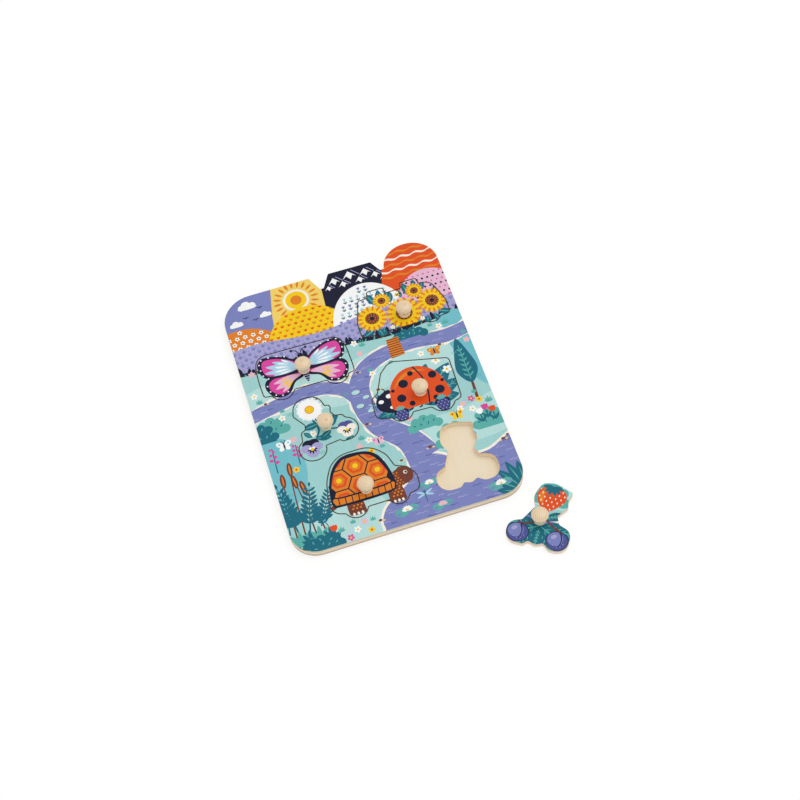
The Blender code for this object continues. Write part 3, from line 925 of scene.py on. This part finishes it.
def without_hidden_edges(points, inked):
    """The same picture, made again from triangles that only the borders between its inks divide."""
    left_ink = {edge: ink for face, ink in inked for edge in sides(face)}
    borders = [edge for edge, ink in left_ink.items()
               if left_ink.get(edge[::-1]) != ink and (edge[0] < edge[1] or edge[::-1] not in left_ink)]
    used = sorted({index for edge in borders for index in edge})
    numbers = {index: number for number, index in enumerate(used)}
    corners = [points[index] for index in used]
    cuts = [(numbers[start], numbers[end]) for start, end in borders]
    made_points, made_edges, made_faces, _, sources, _ = delaunay_2d_cdt(corners, cuts, [], TRIANGLES, 0.0)
    border_ink = {}
    for (start, end), source in zip(made_edges, sources):
        if source:
            border = borders[source[0]]
            run = points[border[1]] - points[border[0]]
            same_way = (made_points[end] - made_points[start]).dot(run) > 0
            border_ink[start, end] = left_ink.get(border if same_way else border[::-1])
            border_ink[end, start] = left_ink.get(border[::-1] if same_way else border)
    owner = {edge: number for number, face in enumerate(made_faces) for edge in sides(face)}
    inks = {owner[edge]: ink for edge, ink in border_ink.items() if edge in owner}
    waiting = list(inks)
    while waiting:
        number = waiting.pop()
        for start, end in sides(made_faces[number]):
            other = owner.get((end, start))
            if (start, end) not in border_ink and other is not None and other not in inks:
                inks[other] = inks[number]
                waiting.append(other)
    return made_points, [(face, inks[number]) for number, face in enumerate(made_faces) if inks.get(number)]


def new_object(name, data):
    """Object in the scene from its data."""
    made = bpy.data.objects.new(name, data)
    bpy.context.scene.collection.objects.link(made)
    return made


def mesh_object(name, mesh):
    """Object in the scene from a bmesh, which is then freed."""
    data = bpy.data.meshes.new(name)
    mesh.to_mesh(data)
    mesh.free()
    return new_object(name, data)


def add_layer(name, body, node, shapes, with_holes, to_picture, floor, thickness, material):
    """Layer with a plate's outline, in which material gives each ink's material."""
    outlines = [[(to_picture @ Vector((x / MICRONS, y / MICRONS, 0))).xy / MM for x, y in outline]
                for outline in top_outlines(node)]
    holes = [outline[::-1] for outline in outlines[1:]] if with_holes else []
    points, inked = without_hidden_edges(*cut(shapes, outlines[0], holes))
    to_world = to_picture.inverted()
    mesh = bmesh.new()
    high, low = {}, {}
    for index in sorted({index for face, _ in inked for index in face}):
        place = to_world @ Vector((points[index].x * MM, points[index].y * MM, 0))
        high[index] = mesh.verts.new((place.x, place.y, floor + thickness))
        low[index] = mesh.verts.new((place.x, place.y, floor))
    inks = sorted({ink for _, ink in inked})
    edges = {}
    faces = []
    for face, ink in inked:
        faces.append(([high[index] for index in face], ink))
        faces.append(([low[index] for index in reversed(face)], ink))
        edges.update({edge: ink for edge in sides(face)})
    for (start, end), ink in edges.items():
        if (end, start) not in edges:
            faces.append(((low[start], low[end], high[end], high[start]), ink))
    for corners, ink in faces:
        mesh.faces.new(corners).material_index = inks.index(ink)
    piece = mesh_object(name, mesh)
    for ink in inks:
        piece.data.materials.append(material(ink))
    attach(piece, body)


# Materials

class Nodes:
    """Shader nodes of a material or the world."""

    def __init__(self, owner):
        owner.use_nodes = True
        self.owner = owner
        self.tree = owner.node_tree

    def fill(self, node, values):
        """Give a node's sockets their values, or the outputs that they follow."""
        for socket, value in values.items():
            if isinstance(value, bpy.types.NodeSocket):
                self.tree.links.new(value, node.inputs[socket])
            else:
                node.inputs[socket].default_value = value

    def make(self, kind, values, output=0, **settings):
        """One output of a new node."""
        node = self.tree.nodes.new("ShaderNode" + kind)
        for name, value in settings.items():
            setattr(node, name, value)
        self.fill(node, values)
        return node.outputs[output]

    def finish(self, values):
        """Give the Principled shader's sockets their values, and return its output."""
        shader = self.tree.nodes["Principled BSDF"]
        self.fill(shader, values)
        return shader.outputs[0]

    def maths(self, operation, *values):
        """Result of a sum on one or two values."""
        return self.make("Math", dict(enumerate(values)), operation=operation)

    def object_place(self):
        """Place in the object's own space."""
        return self.make("TexCoord", {}, "Object")

    def parts(self, vector):
        """X, Y and Z of a vector."""
        return self.make("SeparateXYZ", {"Vector": vector}).node.outputs

    def noise(self, scale, stretch, detail, turn=0.0):
        """Noise in the object's own space, drawn out along the grain."""
        place = self.make("Mapping", {"Vector": self.object_place(), "Rotation": (0, 0, turn),
                                      "Scale": stretch}, vector_type="TEXTURE")
        return self.make("TexNoise", {"Vector": place, "Scale": scale, "Detail": detail}, "Fac")

    def spread(self, source, low, high):
        """Factor that runs from low to high over the middle of a noise."""
        return self.make("MapRange", {"Value": source, "From Min": NOISE_LOW, "From Max": NOISE_HIGH,
                                      "To Min": low, "To Max": high})

    def eased(self, source, none, full, most):
        """Factor that rises smoothly from 0 where the source is at none to most where it is at full."""
        return self.make("MapRange", {"Value": source, "From Min": none, "From Max": full, "To Max": most},
                         interpolation_type="SMOOTHSTEP")

    def ramp(self, source, stops):
        """Colour ramp on a value, from places and 8-bit colours."""
        colour = self.make("ValToRGB", {"Fac": source})
        elements = colour.node.color_ramp.elements
        elements.remove(elements[-1])
        elements[0].position = stops[0][0]
        elements[0].color = linear_colour(stops[0][1])
        for position, rgb in stops[1:]:
            elements.new(position).color = linear_colour(rgb)
        return colour

    def mixed(self, factor, first, second, kind="MIX"):
        """Mix of two colours."""
        return self.make("Mix", {0: factor, 6: first, 7: second}, 2, data_type="RGBA", blend_type=kind)

    def times(self, first, second):
        """Product of two colours."""
        return self.mixed(1.0, first, second, "MULTIPLY")

    def bump(self, height, distance, strength):
        """Normal with a bump from a height value."""
        return self.make("Bump", {"Height": height, "Distance": distance, "Strength": strength}, "Normal")

    def inside(self, x, y, left, bottom, right, top):
        """1 inside a rectangle of the plan and 0 outside it."""
        across = self.maths("MULTIPLY", self.maths("GREATER_THAN", x, left),
                            self.maths("LESS_THAN", x, right))
        along = self.maths("MULTIPLY", self.maths("GREATER_THAN", y, bottom), self.maths("LESS_THAN", y, top))
        return self.maths("MULTIPLY", across, along)

    def seen_ray(self):
        """1 for what the camera sees straight, in a reflection or through glass."""
        path = self.make("LightPath", {}).node.outputs
        straight = self.maths("MAXIMUM", path["Is Camera Ray"], path["Is Glossy Ray"])
        return self.maths("MAXIMUM", straight, path["Is Transmission Ray"])


def ink_material(ink):
    """Satin ink through which the sheet's grain shows faintly."""
    name = "ink_" + ink
    if name in bpy.data.materials:
        return bpy.data.materials[name]
    nodes = Nodes(bpy.data.materials.new(name))
    fibre = nodes.noise(*INK_FIBRE)
    toned = nodes.times(linear_colour(INKS[ink], INK_SHEEN), nodes.spread(fibre, *INK_FIBRE_RANGE))
    mottle = nodes.spread(nodes.noise(*INK_MOTTLE), *INK_MOTTLE_RANGE)
    nodes.finish({"Base Color": nodes.times(toned, mottle), "Roughness": INK_ROUGHNESS,
                  "Specular IOR Level": INK_SPECULAR, "Normal": nodes.bump(fibre, *INK_BUMP)})
    return nodes.owner


def plywood_material(node, edge, turn=0.0):
    """Pale plywood: long grain on its faces and stacked plies on its edges, where the edge colours of the
    seated pieces and the filled recesses' walls carry painted gap shade at their tops, and the backing's
    painted contact shade over its lower part.
    """
    nodes = Nodes(bpy.data.materials.new(node + "_wood"))
    grain = nodes.noise(*FACE_GRAIN, turn)
    figure = nodes.ramp(nodes.noise(*FACE_FIGURE, turn), FACE_TONES)
    face = nodes.times(figure, nodes.spread(grain, *FACE_GRAIN_RANGE))
    low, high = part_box(node)
    x, y, z = nodes.parts(nodes.object_place())
    level = nodes.make("MapRange", {"Value": z, "From Min": low.z, "From Max": high.z})
    plies_and_painted_shade = nodes.ramp(level, edge)
    if node == "frame_board":
        empty = nodes.inside(x, y, *EMPTY_RECESS)
        # Walls of filled recesses get the ramp with painted gap shade at the top; the empty recess's walls
        # get their own ramp without it
        walls = nodes.mixed(empty, nodes.ramp(level, FILLED_RECESS_EDGE_WITH_PAINTED_GAP_SHADE),
                            nodes.ramp(level, EMPTY_RECESS_EDGE))
        plies_and_painted_shade = nodes.mixed(nodes.inside(x, y, *ALL_RECESSES), plies_and_painted_shade, walls)
    side = nodes.times(plies_and_painted_shade, nodes.spread(nodes.noise(*EDGE_STREAKS, turn), *EDGE_STREAK_RANGE))
    upright = nodes.maths("ABSOLUTE", nodes.parts(nodes.make("NewGeometry", {}, "Normal"))["Z"])
    is_face = nodes.maths("GREATER_THAN", upright, FACE_TILT)
    nodes.finish({"Base Color": nodes.mixed(is_face, side, face), "Roughness": WOOD_ROUGHNESS,
                  "Specular IOR Level": WOOD_SPECULAR, "Normal": nodes.bump(grain, *WOOD_BUMP)})
    return nodes.owner


def knob_material(name, axis, pith, turn, heart):
    """Turned pale wood: rings round the pith on the crown, and a pale colour painted down the sides and under
    the head as painted light, so that the shaded neck looks lit.
    """
    nodes = Nodes(bpy.data.materials.new(name))
    middle = (axis.x + pith * math.cos(turn), axis.y + pith * math.sin(turn), axis.z)
    place = nodes.make("Mapping", {"Vector": nodes.object_place(), "Location": middle,
                                   "Rotation": (*PITH_LEAN, turn), "Scale": RING_STRETCH},
                       vector_type="TEXTURE")
    rings = nodes.make("TexWave", {"Vector": place, "Scale": RING_SCALE, "Distortion": RING_DISTORTION,
                                   "Detail": RING_DETAIL, "Detail Scale": RING_DETAIL_SCALE}, "Fac",
                       wave_type="RINGS", rings_direction="Z")
    pores = nodes.make("TexNoise", {"Vector": place, "Scale": PORE_SCALE, "Detail": PORE_DETAIL}, "Fac")
    flecked = nodes.times(nodes.ramp(rings, RING_TONES), nodes.spread(pores, *PORE_RANGE))
    squares = [nodes.maths("MULTIPLY", side, side) for side in nodes.parts(place)[:2]]
    away = nodes.maths("SQRT", nodes.maths("ADD", *squares))
    heartwood = nodes.times(flecked, linear_colour(PITH_TONE))
    end_grain = nodes.mixed(nodes.eased(away, PITH_RADIUS, 0.0, heart), flecked, heartwood)
    facing = nodes.parts(nodes.make("NewGeometry", {}, "Normal"))["Z"]
    # Painted light: the sides and the underside of the head are mixed towards a pale colour so the shaded
    # neck looks lit
    side = nodes.eased(facing, CROWN_FACING, SIDE_FACING, PAINTED_SIDE_LIGHT_SHARE)
    nodes.finish({"Base Color": nodes.mixed(side, end_grain, linear_colour(PAINTED_SIDE_LIGHT)),
                  "Roughness": KNOB_ROUGHNESS, "Coat Weight": KNOB_COAT,
                  "Coat Roughness": KNOB_COAT_ROUGHNESS, "Normal": nodes.bump(pores, *KNOB_BUMP)})
    return nodes.owner


# Knobs

def knob_profile(top):
    """Half section of a knob, as radii and levels, that ends just under its top."""
    profile = [(KNOB_BASE_RADIUS - KNOB_EDGE, -GLUE_THICKNESS), (KNOB_BASE_RADIUS, KNOB_EDGE)]
    for step in range(FLARE_STEPS + 1):
        share = step / FLARE_STEPS
        eased = share * share * (3 - 2 * share)
        profile.append((KNOB_WAIST_RADIUS + (KNOB_HEAD_RADIUS - KNOB_WAIST_RADIUS) * eased,
                        KNOB_WAIST_LEVEL + (KNOB_HEAD_LEVEL - KNOB_WAIST_LEVEL) * share))
    for step in range(1, CROWN_STEPS):
        angle = math.pi / 2 * step / CROWN_STEPS
        profile.append((KNOB_HEAD_RADIUS * math.cos(angle) ** (2 / CROWN_EXPONENT),
                        KNOB_HEAD_LEVEL + KNOB_CROWN_HEIGHT * math.sin(angle) ** (2 / CROWN_EXPONENT)))
    return [(radius, top - KNOB_HEAD_LEVEL - KNOB_CROWN_HEIGHT + level) for radius, level in profile]


def turned_knob(body, pith, turn, heart):
    """Finely turned knob in place of the CAD one."""
    node = body + "_knob"
    low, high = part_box(node)
    axis = Vector(((low.x + high.x) / 2, (low.y + high.y) / 2, low.z))
    mesh = bmesh.new()
    angles = [2 * math.pi * side / KNOB_SIDES for side in range(KNOB_SIDES)]
    circle = [(math.cos(angle), math.sin(angle)) for angle in angles]
    rings = [[mesh.verts.new((axis.x + radius * u, axis.y + radius * v, level)) for u, v in circle]
             for radius, level in knob_profile(high.z)]
    for lower, upper in zip(rings, rings[1:]):
        for side in range(KNOB_SIDES):
            mesh.faces.new((lower[side - 1], lower[side], upper[side], upper[side - 1]))
    mesh.faces.new(rings[0][::-1])
    pole = mesh.verts.new((axis.x, axis.y, high.z))
    for side in range(KNOB_SIDES):
        mesh.faces.new((rings[-1][side - 1], rings[-1][side], pole))
    knob = mesh_object(body + "_turned_knob", mesh)
    knob.data.shade_smooth()
    knob.data.set_sharp_from_angle(angle=SHARP_ANGLE)
    knob.data.materials.append(knob_material(body + "_knob_wood", axis, pith, turn, heart))
    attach(knob, body)
    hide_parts(node)


# Stage

def add_floor():
    """White floor that keeps a faint share of the object's shadow."""
    mesh = bmesh.new()
    bmesh.ops.create_grid(mesh, x_segments=1, y_segments=1, size=FLOOR_SIZE / 2)
    floor = mesh_object("floor", mesh)
    floor.location.z = -FLOOR_DROP
    nodes = Nodes(bpy.data.materials.new("floor_white"))
    shaded = nodes.finish({"Base Color": (1, 1, 1, 1), "Roughness": 1.0, "Specular IOR Level": 0.0})
    share = nodes.maths("MULTIPLY", nodes.seen_ray(), FLOOR_OWN_WHITE)
    blend = nodes.make("MixShader", {0: share, 1: shaded, 2: nodes.make("Emission", {})})
    nodes.fill(nodes.tree.nodes["Material Output"], {"Surface": blend})
    floor.data.materials.append(nodes.owner)


def add_light():
    """Broad soft sun from the upper right and an even white sky."""
    lamp = bpy.data.lights.new("soft_sun", "SUN")
    lamp.energy = SUN_STRENGTH
    lamp.angle = SUN_SPREAD
    sun = new_object("soft_sun", lamp)
    sun.rotation_euler = (-Vector(SUN_FROM)).to_track_quat("-Z", "Y").to_euler()
    world = bpy.data.worlds.new("white_sky")
    bpy.context.scene.world = world
    nodes = Nodes(world)
    strength = nodes.make("Mix", {0: nodes.seen_ray(), 2: SKY_STRENGTH, 3: 1.0}, data_type="FLOAT")
    nodes.fill(nodes.tree.nodes["Background"], {"Color": (1, 1, 1, 1), "Strength": strength})


def add_camera():
    """Camera at the photograph's angle."""
    data = bpy.data.cameras.new("camera")
    data.lens = CAMERA_LENS
    data.sensor_width = SENSOR_WIDTH
    data.clip_start = NEAR_CLIP
    data.clip_end = FAR_CLIP
    camera = new_object("camera", data)
    tilt = math.pi / 2 - CAMERA_ELEVATION
    turns = [Matrix.Rotation(angle, 4, axis) for angle, axis in
             ((CAMERA_AZIMUTH, "Z"), (tilt, "X"), (CAMERA_ROLL, "Z"))]
    camera.matrix_world = Matrix.Translation(CAMERA_PLACE) @ turns[0] @ turns[1] @ turns[2]
    bpy.context.scene.camera = camera


# Each piece's body, slot and picture, and its knob's pith: distance from the axis, direction and darkness
PIECES = (
    ("upper_right", "yellow_print", sunflowers, 0.0006, 0.6, 0.5),
    ("upper_left", "magenta_print", butterfly, 0.0001, 2.6, 0.45),
    ("middle_right", "red_orange_print", ladybird, 0.0016, 4.45, 0.55),
    ("middle_left", "cream_print", blossoms, 0.0016, 5.54, 1.0),
    ("lower_left", "orange_print", tortoise, 0.0017, 4.89, 0.35),
    ("lower_right", "teal_print", fruit, 0.04, -0.3, 0.0),
)


def from_lying():
    """Turn and shift from the loose piece's place to its recess in the picture."""
    low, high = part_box("lower_right_knob")
    lying = Matrix.Translation(((low.x + high.x) / 2, (low.y + high.y) / 2, 0))
    seated = Matrix.Translation((LOOSE_AXIS_IN_PICTURE[0] * MM, LOOSE_AXIS_IN_PICTURE[1] * MM, 0))
    return seated @ Matrix.Rotation(-LOOSE_TURN, 4, "Z") @ lying.inverted()


def add_prints():
    """The board's print and each piece's."""
    board = Picture()
    for paint in (far_hills, patchwork, lavender, meadow, planting):
        paint(board.add)
    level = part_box("frame_board")[1].z + INK_LIFT
    add_layer("board_print", "board", "frame_board", board.shapes, True, TO_BOARD,
              level, INK_THICKNESS, ink_material)
    for body, slot, paint, _, _, _ in PIECES:
        picture = Picture(board.shapes)
        paint(picture.add)
        to_picture = from_lying() if body == LOOSE_BODY else TO_BOARD
        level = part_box(body + "_piece")[1].z + INK_LIFT
        add_layer(body + "_print", body, body + "_piece", picture.shapes, False, to_picture,
                  level, INK_THICKNESS, ink_material)


def add_glue():
    """Layer of glue between the backing and the frame, in the frame's outline."""
    whole = Picture()
    whole.add("glue", box(-5, -5, 230, 310))
    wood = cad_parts["frame_board"].data.materials[0]
    add_layer("glue_line", "board", "frame_board", whole.shapes, True, TO_BOARD,
              BOARD_HIGH.z + INK_LIFT, GLUE_THICKNESS, lambda ink: wood)


def finish_wood():
    """Bare wood of the sheets, the pieces and the knobs."""
    sheets = [("backing_board", BACKING_EDGE, 0.0), ("frame_board", FRAME_EDGE, 0.0)]
    for body, _, _, pith, direction, heart in PIECES:
        lies_loose = body == LOOSE_BODY
        # Seated pieces' edges carry painted gap shade at their tops; the loose piece's edge does not
        sheets.append((body + "_piece", LOOSE_EDGE if lies_loose else PIECE_EDGE_WITH_PAINTED_GAP_SHADE,
                       LOOSE_TURN if lies_loose else 0.0))
        turned_knob(body, pith, direction, heart)
    for node, edge, turn in sheets:
        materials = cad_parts[node].data.materials
        materials.clear()
        materials.append(plywood_material(node, edge, turn))


add_camera()
add_light()
add_floor()
finish_wood()
add_glue()
add_prints()
bpy.context.scene.view_settings.view_transform = "Standard"
